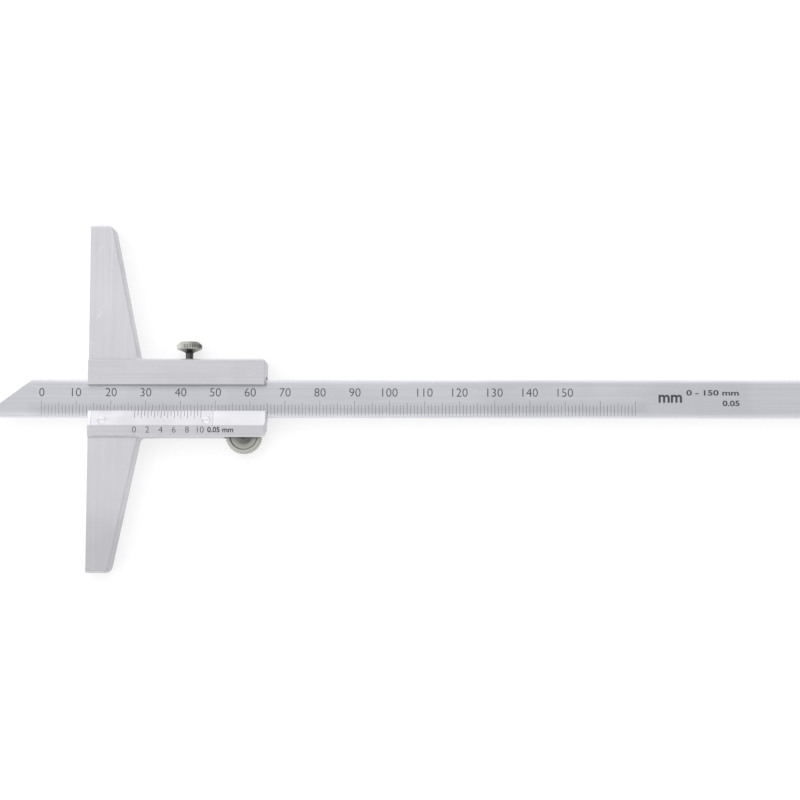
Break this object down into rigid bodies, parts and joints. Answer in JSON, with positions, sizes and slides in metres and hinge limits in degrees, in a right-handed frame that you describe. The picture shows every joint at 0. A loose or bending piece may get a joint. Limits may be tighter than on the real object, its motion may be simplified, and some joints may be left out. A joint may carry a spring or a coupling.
{
  "type": "vernier depth gauge",
  "caption": "Vernier depth gauge: T-shaped base with a flat measuring face, a graduated beam sliding through it, a knurled lock screw and a thumb roller.",
  "frame": {"origin": "on the measuring face, on the centre line of the beam, at the level of the back face that the gauge lies on", "axes": "+X along the beam away from the measured part, +Y along the base towards the lock screw, +Z out of the graduated front"},
  "size_m": [0.24, 0.1, 0.0076],
  "materials": {
    "frame_steel": "satin ground stainless steel",
    "beam_steel": "satin chromed stainless steel, grained along the beam",
    "vernier_steel": "bright satin chrome, glare-free",
    "screw_steel": "turned bright steel",
    "knurled_steel": "nickelled, straight knurled",
    "gib_bronze": "rolled phosphor bronze strip",
    "spring_steel": "rolled spring steel",
    "scale_ink": "black filling in the engraved lines and numbers"
  },
  "bodies": {
    "slider": {"slider_frame": "frame_steel", "vernier_plate": "vernier_steel", "vernier_screw_left": "screw_steel", "vernier_screw_right": "screw_steel", "gib_strip": "gib_bronze", "gib_screw_front": "screw_steel", "gib_screw_rear": "screw_steel", "roller_axle": "screw_steel", "roller_clip": "spring_steel", "roller_spring": "spring_steel", "spring_screw_left": "screw_steel", "spring_screw_right": "screw_steel"},
    "beam": {"beam": "beam_steel"},
    "lock_screw": {"lock_screw": "knurled_steel"},
    "thumb_roller": {"thumb_roller": "knurled_steel"}
  },
  "joints": [
    {"name": "beam_slide", "type": "slide", "parent": "slider", "child": "beam", "axis": [-1, 0, 0], "range_m": [-0.027, 0.123]},
    {"name": "roller_spin", "type": "hinge", "parent": "slider", "child": "thumb_roller", "pos_m": [0.0446, -0.01065, 0.0033], "axis": [0, 0, 1], "continuous": true},
    {"name": "lock_screw_turn", "type": "hinge", "parent": "slider", "child": "lock_screw", "pos_m": [0.0287, 0.0112, 0.004], "axis": [0, 1, 0], "range_deg": [-40, 360]}
  ],
  "couplings": [
    {"joint": "roller_spin", "follows": "beam_slide", "rad_per_m": 190.48}
  ]
}
